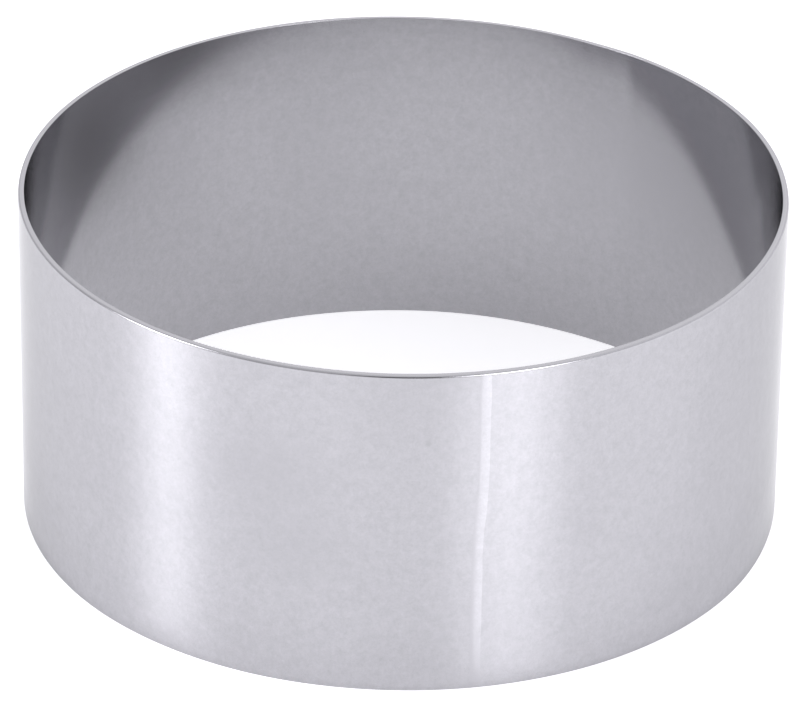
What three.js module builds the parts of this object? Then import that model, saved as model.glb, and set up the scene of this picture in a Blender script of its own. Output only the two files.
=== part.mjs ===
// A mousse ring: a pastry hoop of stainless steel strip, rolled round and closed by one upright butt weld.
// Millimetres, +Z up. The hoop stands on its lower rim, and the origin is the centre of that rim.
// The front is -Y, and the weld lies right of it, towards +X.
import * as THREE from 'three';

// Driving dimensions, in millimetres and degrees
const OUTER_DIAMETER = 100;
const RING_HEIGHT = 45.5;
const WALL = 0.8; // thickness of the strip
const EDGE_RADIUS = 0.2; // rounding of the strip's deburred edges, at both rims
const WELD_WIDTH = 1.4; // measured round the outside
const WELD_CROWN = 0.1; // how far the weld stands proud of the outer wall
const WELD_ROOT = 0.06; // how far it stands proud of the inner wall
const WELD_AZIMUTH = 11.6; // from the front towards +X, at mid height
const WELD_LEAN = 0.7; // how much further towards +X the weld is at its top than at its foot

// Fineness of the facets
const FACETS_ROUND_BAND = 144;
const FACETS_ACROSS_WELD = 6;
const FACETS_ROUND_EDGE = 2;

const outerRadius = OUTER_DIAMETER / 2;
const innerRadius = outerRadius - WALL;
const outerCircumference = Math.PI * OUTER_DIAMETER;
const frontAngle = -Math.PI / 2;
const weldAngle = frontAngle + THREE.MathUtils.degToRad(WELD_AZIMUTH);

// The cut across the strip, a tall thin bar with rounded corners: x is the radius, y the height.
function stripSection() {
  const widestEdge = 0.9 * (WALL / 2); // leaves a flat on the rim of a thin strip
  const edge = Math.min(EDGE_RADIUS, widestEdge);
  const quarter = Math.PI / 2;
  const corners = [
    [outerRadius - edge, edge],
    [outerRadius - edge, RING_HEIGHT - edge],
    [innerRadius + edge, RING_HEIGHT - edge],
    [innerRadius + edge, edge],
  ];
  const section = new THREE.Shape();
  corners.forEach(([radius, height], i) => {
    section.absarc(radius, height, edge, (i - 1) * quarter, i * quarter);
  });
  return section;
}

// A straight length of the strip, rolled onto the hoop. It starts at `from` and runs clockwise seen from
// above, both measured round the outside from the middle of the weld. The strip's ends are cut slightly
// aslant, so the whole length leans with the weld. `swell` gives the rise of each wall, from 0 to 1.
function rolledStrip(from, length, facets, swell) {
  const geometry = new THREE.ExtrudeGeometry(stripSection(), {
    depth: length,
    steps: facets,
    curveSegments: FACETS_ROUND_EDGE / 2, // an arc gets two pieces for each of these
    bevelEnabled: false,
  });
  const points = geometry.getAttribute('position');
  for (let i = 0; i < points.count; i += 1) {
    const flatRadius = points.getX(i);
    const height = points.getY(i);
    const along = from + points.getZ(i);
    const shareOutwards = (flatRadius - innerRadius) / WALL;
    const rise = WELD_CROWN * shareOutwards - WELD_ROOT * (1 - shareOutwards);
    const radius = flatRadius + rise * swell(along);
    const lean = WELD_LEAN * (height / RING_HEIGHT - 0.5);
    const angle = weldAngle + (lean - along) / outerRadius;
    points.setXYZ(i, radius * Math.cos(angle), radius * Math.sin(angle), height);
  }
  geometry.computeVertexNormals();
  return geometry;
}

// The band stays flat: it swells nowhere.
function rolledBand() {
  const flat = () => 0;
  return rolledStrip(WELD_WIDTH / 2, outerCircumference - WELD_WIDTH, FACETS_ROUND_BAND, flat);
}

// The weld is the same strip's missing length, swelling from nothing at its sides to its crown and its root.
function weldSeam() {
  const bead = (along) => 1 - (along / (WELD_WIDTH / 2)) ** 2;
  return rolledStrip(-WELD_WIDTH / 2, WELD_WIDTH, FACETS_ACROSS_WELD, bead);
}

const satinSteel = new THREE.MeshStandardMaterial({ color: 0xc9c8ce, roughness: 0.34, metalness: 1 });
const weldSteel = new THREE.MeshStandardMaterial({ color: 0xd6d5db, roughness: 0.28, metalness: 1 });

const mousseRing = new THREE.Group();
const pieces = [
  ['rolled_band', rolledBand(), satinSteel],
  ['weld_seam', weldSeam(), weldSteel],
];
for (const [name, geometry, material] of pieces) {
  const piece = new THREE.Mesh(geometry, material);
  piece.name = name;
  mousseRing.add(piece);
}

export default mousseRing;
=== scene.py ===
import math

import bmesh
import bpy
from mathutils import Matrix, Vector


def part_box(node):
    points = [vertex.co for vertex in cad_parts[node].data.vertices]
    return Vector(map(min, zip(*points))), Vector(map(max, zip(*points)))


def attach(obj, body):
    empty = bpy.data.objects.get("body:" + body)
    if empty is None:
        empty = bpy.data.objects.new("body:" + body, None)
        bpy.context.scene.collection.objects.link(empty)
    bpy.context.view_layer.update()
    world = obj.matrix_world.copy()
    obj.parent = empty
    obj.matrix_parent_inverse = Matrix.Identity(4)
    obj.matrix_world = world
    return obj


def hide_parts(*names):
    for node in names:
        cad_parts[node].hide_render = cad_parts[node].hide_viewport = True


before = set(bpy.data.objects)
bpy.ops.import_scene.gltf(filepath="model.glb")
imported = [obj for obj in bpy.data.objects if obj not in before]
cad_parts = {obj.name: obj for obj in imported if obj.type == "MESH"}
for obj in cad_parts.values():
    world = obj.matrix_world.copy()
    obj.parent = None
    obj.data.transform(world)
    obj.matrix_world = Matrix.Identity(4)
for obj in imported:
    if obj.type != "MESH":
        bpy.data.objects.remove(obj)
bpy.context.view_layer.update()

# Rolled band
# The ring's body: one strip of bright stainless steel, deburred at its edges and rolled until its ends
# face each other. It shows faint lines from the rolls, a slight crease and flat, and an oval upper rim.
MM = 0.001
hair = MM / 1000  # what is closer than this counts as touching
band_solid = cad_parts["rolled_band"].data
weld_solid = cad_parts["weld_seam"].data
band_low, band_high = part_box("rolled_band")
outer_radius = (band_high.x - band_low.x) / 2
inner_radius = min(math.hypot(v.co.x, v.co.y) for v in band_solid.vertices)
middle_radius = (inner_radius + outer_radius) / 2
ring_height = band_high.z - band_low.z
rim_rounding = 0.3 * MM  # of the upper rim's outer edge, measured across the rim
rim_drop = 0.36 * MM  # the same rounding, measured down the wall
foot_rounding = 0.12 * MM
inner_rounding = 0.06 * MM
rim_segments = 5
wall_rows = 14
band_steps = 400


def angle_of(point):
    """The angle of a point round the ring's axis, in radians from +X."""
    return math.atan2(point.y, point.x)


def middle_angle(points):
    """The angle halfway between the outermost of some points, all on one side of the ring."""
    angles = [angle_of(p) for p in points]
    return (min(angles) + max(angles)) / 2


def eased(value):
    """A smooth step from 0 to 1."""
    held = min(max(value, 0.0), 1.0)
    return held * held * (3 - 2 * held)


weld_rim_points = [v.co for v in weld_solid.vertices if v.co.z > ring_height - hair]
weld_foot_points = [v.co for v in weld_solid.vertices if v.co.z < hair]
weld_rim_angle = middle_angle(weld_rim_points)
weld_foot_angle = middle_angle(weld_foot_points)
weld_half_angle = max(angle_of(p) for p in weld_rim_points) - weld_rim_angle
weld_bend_low = 18 * MM
weld_bend_high = 33 * MM
weld_edge_waver = 0.07 * MM
slow_waver = 2.1 * MM
quick_waver = 0.83 * MM


def weld_bend(height):
    """The share of the weld's lean made by a height: the hand-trimmed ends bend half way up."""
    return eased((height - weld_bend_low) / (weld_bend_high - weld_bend_low))


def weld_edge(height, side):
    """The angle of the weld's wavering edge at a height, with side -1 at its left and 1 at its right."""
    middle = weld_foot_angle + (weld_rim_angle - weld_foot_angle) * weld_bend(height)
    waver = math.sin(height / slow_waver + side) + math.sin(height / quick_waver + 2 * side)
    return middle + side * weld_half_angle + waver * weld_edge_waver / 2 / outer_radius


# The waves that the rolls left: how many go round the wall, how far they turn with the height, and
# where they start.
roll_waves = ((5, 0, 0.7), (9, 1 / (14 * MM), 0), (13, -1 / (9 * MM), 1.9))
roll_unevenness = 0.03 * MM
oval_depth = 0.2 * MM
oval_angle = math.radians(-45)
crease_angle = math.radians(52)
crease_bulge = 0.20 * MM
crease_lead = math.radians(9)
flat_depth = 0.22 * MM
flat_turn = math.radians(60)
flat_end = math.radians(95)
flat_delay = 1.5


def crease(angle):
    """How far the wall lies in at the right. At the crease itself it stands out instead."""
    past = (crease_angle - angle + math.pi) % math.tau - math.pi
    if past < 0:
        led_out = max(1 + past / crease_lead, 0.0)
        return -crease_bulge * led_out ** 2
    turned_in = (crease_bulge + flat_depth) * eased(past / flat_turn) ** flat_delay - crease_bulge
    let_go = eased((past - flat_turn) / (flat_end - flat_turn))
    return turned_in * (1 - let_go)


def rolled_point(radius, angle, height):
    """A point of the rolled strip, slightly out of round. The oval grows from the foot to the rim."""
    waves = sum(math.sin(count * angle + turn * height + start) for count, turn, start in roll_waves)
    unevenness = roll_unevenness * (1 - waves / len(roll_waves))
    oval = oval_depth * height / ring_height * math.cos(2 * (angle - oval_angle))
    true_radius = radius - unevenness - crease(angle) + oval
    return Vector((true_radius * math.cos(angle), true_radius * math.sin(angle), height))


def strip_section(bm):
    """The cut across the strip, as faces in the XZ plane at +X: a tall thin bar with rounded corners.

    The vertices' "cut_edge" is 1 on the cut edges and fades over their rounding to 0 on the walls.
    """
    corners = [
        bm.verts.new((radius, 0, height))
        for radius, height in (
            (inner_radius, 0),
            (outer_radius, 0),
            (outer_radius, ring_height),
            (inner_radius, ring_height),
        )
    ]
    bm.faces.new(corners)
    roundings = (inner_rounding, foot_rounding, rim_rounding, inner_rounding)
    for corner, rounding in zip(corners, roundings):
        bmesh.ops.bevel(
            bm,
            geom=[corner],
            offset=rounding,
            offset_type="OFFSET",
            affect="VERTICES",
            segments=rim_segments,
            profile=0.5,
            material=-1,
        )
    rounding_start = outer_radius - rim_rounding
    rounded = [v for v in bm.verts if v.co.z > ring_height / 2 and v.co.x > rounding_start]
    bmesh.ops.scale(
        bm,
        vec=(1, 1, rim_drop / rim_rounding),
        space=Matrix.Translation((0, 0, -ring_height)),
        verts=rounded,
    )
    cut_edge = bm.verts.layers.float.new("cut_edge")
    for vert in bm.verts:
        off_inner_wall = vert.co.x - inner_radius
        off_outer_wall = outer_radius - vert.co.x
        vert[cut_edge] = min(off_inner_wall / inner_rounding, off_outer_wall / rim_rounding, 1.0)
    tall = [e for e in bm.edges if e.calc_length() > ring_height / 2]
    bmesh.ops.subdivide_edges(bm, edges=tall, cuts=wall_rows - 1)


def swept_section(from_angle, turn, steps):
    """A closed mesh of the section swept round the ring's axis."""
    bm = bmesh.new()
    strip_section(bm)
    swept = bm.verts[:] + bm.edges[:] + bm.faces[:]
    to_start = Matrix.Rotation(from_angle, 3, "Z")
    bmesh.ops.rotate(bm, verts=bm.verts, cent=(0, 0, 0), matrix=to_start)
    bmesh.ops.spin(bm, geom=swept, cent=(0, 0, 0), axis=(0, 0, 1), angle=turn, steps=steps)
    bmesh.ops.remove_doubles(bm, verts=bm.verts, dist=hair / 10)
    bmesh.ops.recalc_face_normals(bm, faces=bm.faces)
    return bm


sharp_angle = math.radians(40)


def finished_piece(name, bm, materials):
    """An object of a finished mesh: smooth but for its cut ends, with the wall's normals kept true."""
    for face in bm.faces:
        face.smooth = True
    for edge in bm.edges:
        edge.smooth = edge.calc_face_angle(0) < sharp_angle
    mesh = bpy.data.meshes.new(name)
    bm.to_mesh(mesh)
    bm.free()
    for material in materials:
        mesh.materials.append(material)
    piece = bpy.data.objects.new(name, mesh)
    bpy.context.scene.collection.objects.link(piece)
    even = piece.modifiers.new("even_normals", "WEIGHTED_NORMAL")
    even.keep_sharp = True
    return piece


def node_of(tree, kind, inputs=None, **settings):
    """A new node. Each input is given by its label, as a plain value or as another node's output."""
    made = tree.nodes.new(kind)
    for name, value in settings.items():
        setattr(made, name, value)
    for label, value in (inputs or {}).items():
        if isinstance(value, bpy.types.NodeSocket):
            tree.links.new(value, made.inputs[label])
        else:
            made.inputs[label].default_value = value
    return made


def math_of(tree, operation, *operands):
    """The outcome of a Math node. Each operand is a number or another node's output."""
    made = node_of(tree, "ShaderNodeMath", dict(enumerate(operands)), operation=operation)
    return made.outputs["Value"]


def vector_of(tree, operation, *operands):
    """The outcome of a Vector Math node: a number where the operation gives one, or else a vector."""
    made = node_of(tree, "ShaderNodeVectorMath", dict(enumerate(operands)), operation=operation)
    gives_number = operation in ("LENGTH", "DISTANCE", "DOT_PRODUCT")
    return made.outputs["Value" if gives_number else "Vector"]


def ramp_of(tree, value, start, end, low=0.0, high=1.0, kind="SMOOTHSTEP"):
    """A number that goes from low to high as the value goes from start to end."""
    levels = {"Value": value, "From Min": start, "From Max": end, "To Min": low, "To Max": high}
    return node_of(tree, "ShaderNodeMapRange", levels, interpolation_type=kind).outputs["Result"]


def mix_of(tree, factor, first, second):
    """A number between two. Each of them is a number or another node's output."""
    sides = {"Factor": factor, "A": first, "B": second}
    return node_of(tree, "ShaderNodeMix", sides, data_type="FLOAT").outputs["Result"]


def colour_mix_of(tree, factor, first, second):
    """A colour between two. Each of them is a colour or another node's output."""
    sides = {"Factor": factor}
    for label, colour in (("A", first), ("B", second)):
        sides[label] = colour if isinstance(colour, bpy.types.NodeSocket) else (*colour, 1)
    return node_of(tree, "ShaderNodeMix", sides, data_type="RGBA").outputs["Result"]


def noise_of(tree, vector, scale, detail, roughness):
    """Noise of that scale, from 0 to 1."""
    levels = {"Vector": vector, "Scale": scale, "Detail": detail, "Roughness": roughness}
    return node_of(tree, "ShaderNodeTexNoise", levels).outputs["Fac"]


def new_group(name, inputs, outputs):
    """A shader node group with named sockets. Returns it with its input and output nodes."""
    group = bpy.data.node_groups.new(name, "ShaderNodeTree")
    for label, kind in inputs.items():
        group.interface.new_socket(name=label, in_out="INPUT", socket_type=kind)
    for label in outputs:
        group.interface.new_socket(name=label, in_out="OUTPUT", socket_type="NodeSocketFloat")
    return group, group.nodes.new("NodeGroupInput"), group.nodes.new("NodeGroupOutput")


def rolling_grain():
    """Fine lines left by the rolls: noise that changes fast up the wall and slowly along it."""
    group, given, made = new_group(
        "rolling_grain",
        {"Vector": "NodeSocketVector", "Spacing": "NodeSocketVector", "Coarse": "NodeSocketVector"},
        ["Lines", "Streaks"],
    )
    for spacing, label, detail in (("Spacing", "Lines", 2.0), ("Coarse", "Streaks", 3.0)):
        stretched = vector_of(group, "MULTIPLY", given.outputs["Vector"], given.outputs[spacing])
        noise = noise_of(group, stretched, scale=1.0, detail=detail, roughness=0.6)
        group.links.new(noise, made.inputs[label])
    return group


def mill_mottle():
    """The fine even mottle of pickled and rolled steel: noise as strong at 2 mm as at a tenth of one."""
    group, given, made = new_group(
        "mill_mottle",
        {"Vector": "NodeSocketVector", "Scale": "NodeSocketFloat"},
        ["Mottle"],
    )
    noise = noise_of(
        group,
        given.outputs["Vector"],
        given.outputs["Scale"],
        detail=4.0,
        roughness=1.0,
    )
    group.links.new(noise, made.inputs["Mottle"])
    return group


smudge_edge = 0.48  # the level of the cloud's noise at which a smudge begins
smudge_core = 0.72
speck_edge = 0.16  # as a share of the specks' spacing
speck_core = 0.04


def handling_marks():
    """Faint cloudy smudges from hands and cloths, and a scatter of tiny specks."""
    group, given, made = new_group(
        "handling_marks",
        {
            "Vector": "NodeSocketVector",
            "Smudge scale": "NodeSocketFloat",
            "Speck scale": "NodeSocketFloat",
        },
        ["Smudges", "Specks"],
    )
    cloud = noise_of(
        group,
        given.outputs["Vector"],
        given.outputs["Smudge scale"],
        detail=4.0,
        roughness=0.55,
    )
    smudges = ramp_of(group, cloud, smudge_edge, smudge_core)
    group.links.new(smudges, made.inputs["Smudges"])
    dots = node_of(
        group,
        "ShaderNodeTexVoronoi",
        {"Vector": given.outputs["Vector"], "Scale": given.outputs["Speck scale"]},
    )
    specks = ramp_of(group, dots.outputs["Distance"], speck_edge, speck_core)
    group.links.new(specks, made.inputs["Specks"])
    return group


grain_group = rolling_grain()
mottle_group = mill_mottle()
marks_group = handling_marks()


def soft_patch(tree, place, tone, spot):
    """The tone with a soft patch on it, strongest in its middle."""
    centre, half_width, half_height, strength, colour = spot
    offset = vector_of(tree, "SUBTRACT", place, centre)
    in_halves = vector_of(tree, "DIVIDE", offset, (half_width, half_width, half_height))
    away = vector_of(tree, "LENGTH", in_halves)
    patch = ramp_of(tree, away, start=1.0, end=0.0, high=strength)
    return colour_mix_of(tree, patch, tone, colour)


mottle = 0.21
mottle_scale = 720.0
smudge_scale = 38.0
speck_scale = 260.0
streak_roughness = 0.04
dull_roughness = 0.05
# The cut edges' lighter colour is partly bare cut metal and partly a painted sheen.
cut_colour = (0.64, 0.635, 0.66)
cut_roughness = 0.24


def steel(
    name,
    colour,
    dull_colour,
    edge_tint,
    roughness,
    grain_depth,
    grain_spacing,
    streak_spacing,
    marks,
    spots,
    plain_colour=None,
):
    """Stainless steel: grain in the normal, mottle, streaks and smudges in the roughness and the colour.

    The edge tint is its brightness at a glancing view. The spacings are in waves to the metre. Each of
    the spots is a place, half a width, half a height, a strength and a colour. The strip's cut edges are
    brighter and more matt than its walls: there the mesh's "cut_edge" is 1. With a plain colour, the
    steel is that colour where the mesh's "weld_metal" is 0.
    """
    material = bpy.data.materials.new(name)
    material.use_nodes = True
    tree = material.node_tree
    surface = tree.nodes["Principled BSDF"]
    surface.inputs["Metallic"].default_value = 1.0
    surface.inputs["Specular Tint"].default_value = (edge_tint, edge_tint, edge_tint, 1)
    place = node_of(tree, "ShaderNodeTexCoord").outputs["Object"]

    grain = node_of(
        tree,
        "ShaderNodeGroup",
        {"Vector": place, "Spacing": grain_spacing, "Coarse": streak_spacing},
        node_tree=grain_group,
    )
    relief = node_of(
        tree,
        "ShaderNodeBump",
        {"Strength": 1.0, "Distance": grain_depth, "Height": grain.outputs["Lines"]},
    )
    tree.links.new(relief.outputs["Normal"], surface.inputs["Normal"])

    handled = node_of(
        tree,
        "ShaderNodeGroup",
        {"Vector": place, "Smudge scale": smudge_scale, "Speck scale": speck_scale},
        node_tree=marks_group,
    )
    smudged = math_of(tree, "MULTIPLY", handled.outputs["Smudges"], marks)
    specked = math_of(tree, "MULTIPLY", handled.outputs["Specks"], marks / 2)
    dullness = math_of(tree, "ADD", smudged, specked)
    mottled = node_of(
        tree,
        "ShaderNodeGroup",
        {"Vector": place, "Scale": mottle_scale},
        node_tree=mottle_group,
    )
    deep_colour = [c * (1 - mottle) for c in colour]
    pale_colour = [c * (1 + mottle) for c in colour]
    tone = colour_mix_of(tree, mottled.outputs["Mottle"], deep_colour, pale_colour)
    tone = colour_mix_of(tree, dullness, tone, dull_colour)
    for spot in spots:
        tone = soft_patch(tree, place, tone, spot)
    if plain_colour:
        welded = node_of(tree, "ShaderNodeAttribute", attribute_name="weld_metal").outputs["Fac"]
        tone = colour_mix_of(tree, welded, plain_colour, tone)
    cut_edge = node_of(tree, "ShaderNodeAttribute", attribute_name="cut_edge").outputs["Fac"]
    # The cut edges take a lighter colour: partly bare cut metal, partly a painted sheen.
    tone = colour_mix_of(tree, cut_edge, tone, cut_colour)
    tree.links.new(tone, surface.inputs["Base Color"])

    smoothest = roughness - streak_roughness / 2
    rough = math_of(tree, "MULTIPLY_ADD", grain.outputs["Streaks"], streak_roughness, smoothest)
    rough = math_of(tree, "MULTIPLY_ADD", dullness, dull_roughness, rough)
    rough = mix_of(tree, cut_edge, rough, cut_roughness)
    tree.links.new(rough, surface.inputs["Roughness"])
    return material


def direction(azimuth, elevation):
    """A direction from the ring's axis, in degrees, with the azimuth from the front towards the right."""
    a = math.radians(azimuth)
    e = math.radians(elevation)
    return Vector((math.sin(a) * math.cos(e), -math.cos(a) * math.cos(e), math.sin(e)))


def wall_place(azimuth, height):
    """A place in the middle of the wall."""
    return direction(azimuth, 0) * middle_radius + Vector((0, 0, height))


outer_colour = (0.450, 0.446, 0.468)
inner_colour = (0.437, 0.433, 0.454)
smudge_colour = (0.394, 0.390, 0.410)
nick_colour = (0.30, 0.30, 0.31)
# Painted dark reflection: darkens two patches of the inner wall under the back-left rim.
haze_colour = (0.20, 0.197, 0.203)
outer_edge_tint = 0.80
# Brighter at a glancing view inside than outside: painted light in the inside's repeated reflections.
inner_edge_tint = 0.97


def strip_steel(name, colour, edge_tint, spots):
    """The strip's own steel, on one side of it."""
    return steel(
        name,
        colour=colour,
        dull_colour=smudge_colour,
        edge_tint=edge_tint,
        roughness=0.13,
        grain_depth=0.0006 * MM,
        grain_spacing=(150, 150, 11000),
        streak_spacing=(40, 40, 1500),
        marks=0.2,
        spots=spots,
    )


outer_strip_steel = strip_steel(
    "outer_strip_steel",
    outer_colour,
    outer_edge_tint,
    spots=[
        (wall_place(-19, 30 * MM), 14 * MM, 10.4 * MM, 0.45, smudge_colour),
        (wall_place(-15, 20 * MM), 12 * MM, 8.9 * MM, 0.40, smudge_colour),
        (wall_place(3.9, 36.1 * MM), 0.7 * MM, 0.9 * MM, 0.80, nick_colour),
    ],
)
# The inner side's copy of the steel, with its painted glancing light.
inner_strip_steel = strip_steel(
    "inner_strip_steel",
    inner_colour,
    inner_edge_tint,
    spots=[
        # Two patches of painted dark reflection under the back-left rim.
        (wall_place(-121, 39 * MM), 18 * MM, 17 * MM, 0.75, haze_colour),
        (wall_place(-141, 46 * MM), 18 * MM, 13 * MM, 0.75, haze_colour),
        (wall_place(134, 29 * MM), 27 * MM, 20 * MM, 0.90, smudge_colour),
    ],
)

band_start = weld_foot_angle + weld_half_angle
band_turn = math.tau - 2 * weld_half_angle
start_slack = 0.001  # in radians, so that the strip's first row isn't taken for its last

band_mesh = swept_section(band_start, band_turn, band_steps)
for face in band_mesh.faces:
    inside = all(math.hypot(v.co.x, v.co.y) < middle_radius for v in face.verts)
    face.material_index = int(inside)
for vert in band_mesh.verts:
    radius = math.hypot(vert.co.x, vert.co.y)
    height = vert.co.z
    turned = (angle_of(vert.co) - band_start + start_slack) % math.tau - start_slack
    right_end = weld_edge(height, 1)
    left_end = weld_edge(height, -1) + math.tau
    angle = right_end + (left_end - right_end) * turned / band_turn
    vert.co = rolled_point(radius, angle, height)
band = finished_piece("band", band_mesh, [outer_strip_steel, inner_strip_steel])
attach(band, "root")
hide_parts("rolled_band")

# Weld seam
# The butt weld that closes the hoop: weld metal between the strip's ends, ground down and polished until
# only a low smooth bead stands proud. It shows as a bright upright line, which fades towards the foot.
# Its lighter colour is partly polished metal and partly a painted highlight, faded by paint at the foot.
weld_steps = 14
weld_crown = 0.012 * MM
weld_root = 0.012 * MM
weld_azimuth = 90 + math.degrees((weld_foot_angle + weld_rim_angle) / 2)
weld_soft_share_foot = 0.55  # of the weld's width, over which its left side blends into the strip
weld_soft_share_rim = 0.25

polished_weld_steel = steel(
    "polished_weld_steel",
    # Lighter than the strip: partly polished weld metal, partly a painted highlight.
    colour=(0.508, 0.503, 0.528),
    dull_colour=(0.468, 0.464, 0.487),
    edge_tint=outer_edge_tint,
    roughness=0.14,
    grain_depth=0.0006 * MM,
    grain_spacing=(900, 900, 5000),
    streak_spacing=(300, 300, 900),
    marks=0.2,
    # A patch of the strip's colour at the foot fades the painted highlight out downwards.
    spots=[(wall_place(weld_azimuth, 0), 16 * MM, 11.9 * MM, 0.80, outer_colour)],
    plain_colour=outer_colour,
)

weld_start = weld_foot_angle - weld_half_angle
weld_turn = 2 * weld_half_angle

weld_mesh = swept_section(weld_start, weld_turn, weld_steps)
# Where this is 1, the weld's lighter tone shows, and with it the painted highlight.
weld_metal = weld_mesh.verts.layers.float.new("weld_metal")
for vert in weld_mesh.verts:
    radius = math.hypot(vert.co.x, vert.co.y)
    height = vert.co.z
    share = (angle_of(vert.co) - weld_start) / weld_turn
    left_side = weld_edge(height, -1)
    right_side = weld_edge(height, 1)
    angle = left_side + (right_side - left_side) * share
    swell = 1 - (2 * share - 1) ** 2
    outwards = (radius - inner_radius) / (outer_radius - inner_radius)
    proud = swell * (weld_crown * outwards - weld_root * (1 - outwards))
    vert.co = rolled_point(radius + proud, angle, height)
    narrowing = (weld_soft_share_rim - weld_soft_share_foot) * weld_bend(height)
    vert[weld_metal] = eased(share / (weld_soft_share_foot + narrowing))
weld = finished_piece("weld", weld_mesh, [polished_weld_steel])
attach(weld, "root")
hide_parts("weld_seam")

# Floor
# A plain white table top, matt inside the ring and softly glossy outside, so that the wall mirrors the
# lamps in it. It reads white to the eye and in the steel, and takes the shadow. The glow that the steel
# sees is held back inside the ring and by the wall's foot: a painted shadow.
floor_size = 6.0
floor_colour = (0.85, 0.85, 0.85, 1)
cool_white = (1.0, 0.995, 1.03, 1)
seen_fill = 0.62
mirrored_fill = 0.52
# Painted shadow in the glow the steel sees: less of it inside the ring and by the foot outside.
inner_fill_middle = (0, -2 * MM, 0)
inner_fill_full = 24 * MM
inner_fill_least = 0.82
outer_fill_full = 65 * MM
outer_fill_least = 0.85
contact_shade = 0.25
contact_reach = 51.6 * MM
glossy_roughness = 0.25
matt_roughness = 0.8
matt_radius = 43 * MM
glossy_radius = 57 * MM

floor_mesh = bmesh.new()
bmesh.ops.create_grid(floor_mesh, x_segments=1, y_segments=1, size=floor_size / 2)
floor_data = bpy.data.meshes.new("floor")
floor_mesh.to_mesh(floor_data)
floor_mesh.free()
floor = bpy.data.objects.new("floor", floor_data)
bpy.context.scene.collection.objects.link(floor)

table_white = bpy.data.materials.new("table_white")
table_white.use_nodes = True
table_tree = table_white.node_tree
table_surface = table_tree.nodes["Principled BSDF"]
table_surface.inputs["Base Color"].default_value = floor_colour
table_surface.inputs["Emission Color"].default_value = cool_white
table_place = node_of(table_tree, "ShaderNodeTexCoord").outputs["Object"]
from_axis = vector_of(table_tree, "LENGTH", table_place)
gloss = ramp_of(
    table_tree,
    from_axis,
    start=matt_radius,
    end=glossy_radius,
    low=matt_roughness,
    high=glossy_roughness,
)
table_tree.links.new(gloss, table_surface.inputs["Roughness"])

# Painted shadow: the mirrored glow falls off towards the wall, inside and outside the ring.
inner_fill = ramp_of(
    table_tree,
    vector_of(table_tree, "DISTANCE", table_place, inner_fill_middle),
    start=inner_fill_full,
    end=inner_radius,
    low=mirrored_fill,
    high=mirrored_fill * inner_fill_least,
    kind="LINEAR",
)
outer_fill = ramp_of(
    table_tree,
    from_axis,
    start=outer_radius,
    end=outer_fill_full,
    low=mirrored_fill * outer_fill_least,
    high=mirrored_fill,
    kind="LINEAR",
)
contact = ramp_of(table_tree, from_axis, outer_radius, contact_reach, low=1 - contact_shade)
shaded_outer_fill = math_of(table_tree, "MULTIPLY", outer_fill, contact)
outside = math_of(table_tree, "GREATER_THAN", from_axis, inner_radius)
fill_level = mix_of(table_tree, outside, inner_fill, shaded_outer_fill)
ray = node_of(table_tree, "ShaderNodeLightPath").outputs
mirrored = math_of(table_tree, "MAXIMUM", ray["Is Glossy Ray"], ray["Is Transmission Ray"])
fill_for_mirror = math_of(table_tree, "MULTIPLY", mirrored, fill_level)
fill_for_camera = math_of(table_tree, "MULTIPLY", ray["Is Camera Ray"], seen_fill)
fill = math_of(table_tree, "ADD", fill_for_camera, fill_for_mirror)
table_tree.links.new(fill, table_surface.inputs["Emission Strength"])
floor_data.materials.append(table_white)

# Studio light
# A white room, a little brighter at the right and dark behind the camera, with two low soft boxes at the
# left and in front. These are brightest in their middle, and their glow on the table shows in the wall.
world_level = 0.8
bright_side_gain = 0.25
bright_side = direction(110, 0)
dark_side_level = 0.1
dark_side = direction(8, 25)
dark_side_edge = math.radians(26)
dark_side_core = math.radians(13)

world = bpy.data.worlds.new("white_room")
world.use_nodes = True
room_tree = world.node_tree
room_light = room_tree.nodes["Background"]
room_light.inputs["Color"].default_value = cool_white
room_place = node_of(room_tree, "ShaderNodeTexCoord").outputs["Generated"]
room_shade = ramp_of(
    room_tree,
    vector_of(room_tree, "DOT_PRODUCT", room_place, dark_side),
    start=math.cos(dark_side_edge),
    end=math.cos(dark_side_core),
    low=world_level,
    high=dark_side_level,
)
towards_bright = vector_of(room_tree, "DOT_PRODUCT", room_place, bright_side)
side_gain = math_of(room_tree, "MULTIPLY_ADD", towards_bright, bright_side_gain, 1.0)
room_level = math_of(room_tree, "MULTIPLY", room_shade, side_gain)
room_tree.links.new(room_level, room_light.inputs["Strength"])
bpy.context.scene.world = world

soft_box_elevation = 24.5
soft_box_distance = 0.69
lamp_half = 0.5  # half of a lamp's face, in the lamp's own coordinates


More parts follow.
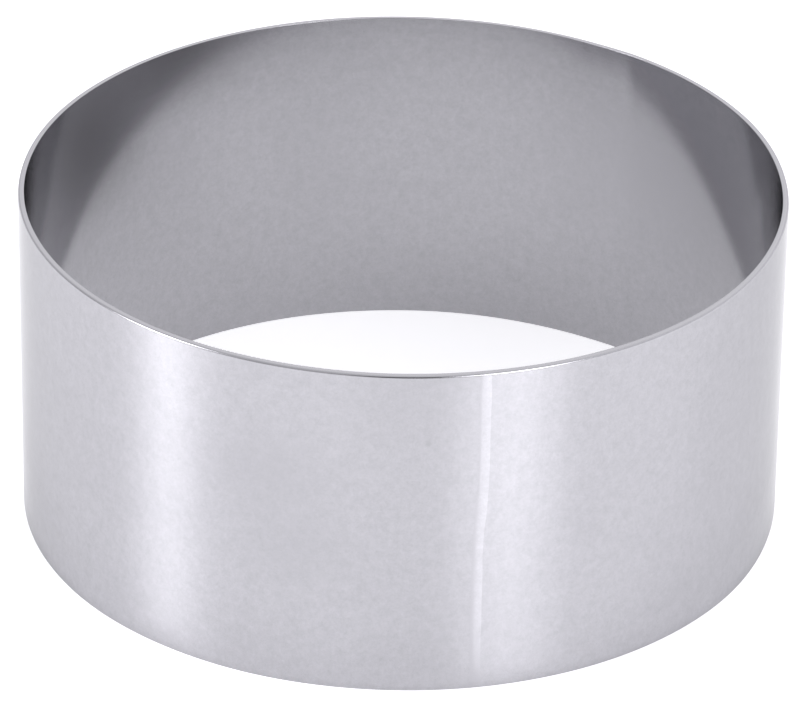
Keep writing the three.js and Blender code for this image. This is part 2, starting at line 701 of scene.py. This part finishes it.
def soft_box(name, azimuth, width, height, power, falling):
    """A rectangular lamp aimed at the ring's foot, whose light falls off from its middle."""
    lamp = bpy.data.lights.new(name, "AREA")
    lamp.shape = "RECTANGLE"
    lamp.size = width
    lamp.size_y = height
    lamp.energy = power
    lamp.color = cool_white[:3]
    lamp.use_nodes = True
    lamp_tree = lamp.node_tree
    on_face = node_of(lamp_tree, "ShaderNodeNewGeometry").outputs["Parametric"]
    from_middle = vector_of(lamp_tree, "DISTANCE", on_face, (lamp_half, lamp_half, 0))
    inwards = ramp_of(lamp_tree, from_middle, start=lamp_half, end=0.0, kind="LINEAR")
    glow = math_of(lamp_tree, "POWER", inwards, falling)
    lamp_tree.links.new(glow, lamp_tree.nodes["Emission"].inputs["Strength"])
    box = bpy.data.objects.new(name, lamp)
    bpy.context.scene.collection.objects.link(box)
    towards = direction(azimuth, soft_box_elevation)
    box.location = towards * soft_box_distance
    box.rotation_mode = "QUATERNION"
    box.rotation_quaternion = towards.to_track_quat("Z", "Y")
    box.visible_camera = False


soft_box("left_soft_box", azimuth=-71, width=0.52, height=0.48, power=11.9, falling=2.0)
soft_box("front_soft_box", azimuth=30.8, width=0.48, height=0.36, power=5.4, falling=1.0)

# Camera
# Fitted to the rims in the photograph, whose frame is 800 by 705 pixels. It looks down on the front of
# the ring from far off.
frame_width = 800
frame_height = 705
focal_pixels = 6306.6
centre_pixel = (402.1, 341.6)
camera_elevation = 29.201
camera_roll = math.radians(0.774)
camera_distance = 827.7 * MM
aim_height = 22.5 * MM
nearest_seen = 10 * MM

lens = bpy.data.cameras.new("camera")
lens.sensor_fit = "HORIZONTAL"
lens.lens = focal_pixels / frame_width * lens.sensor_width
lens.shift_x = 0.5 - centre_pixel[0] / frame_width
lens.shift_y = (centre_pixel[1] - frame_height / 2) / frame_width
lens.clip_start = nearest_seen
camera = bpy.data.objects.new("camera", lens)
bpy.context.scene.collection.objects.link(camera)
backwards = direction(0, camera_elevation)
camera.location = Vector((0, 0, aim_height)) + backwards * camera_distance
camera.rotation_mode = "QUATERNION"
upright = backwards.to_track_quat("Z", "Y")
camera.rotation_quaternion = upright @ Matrix.Rotation(camera_roll, 3, "Z").to_quaternion()
bpy.context.scene.camera = camera
bpy.context.scene.view_settings.view_transform = "Standard"
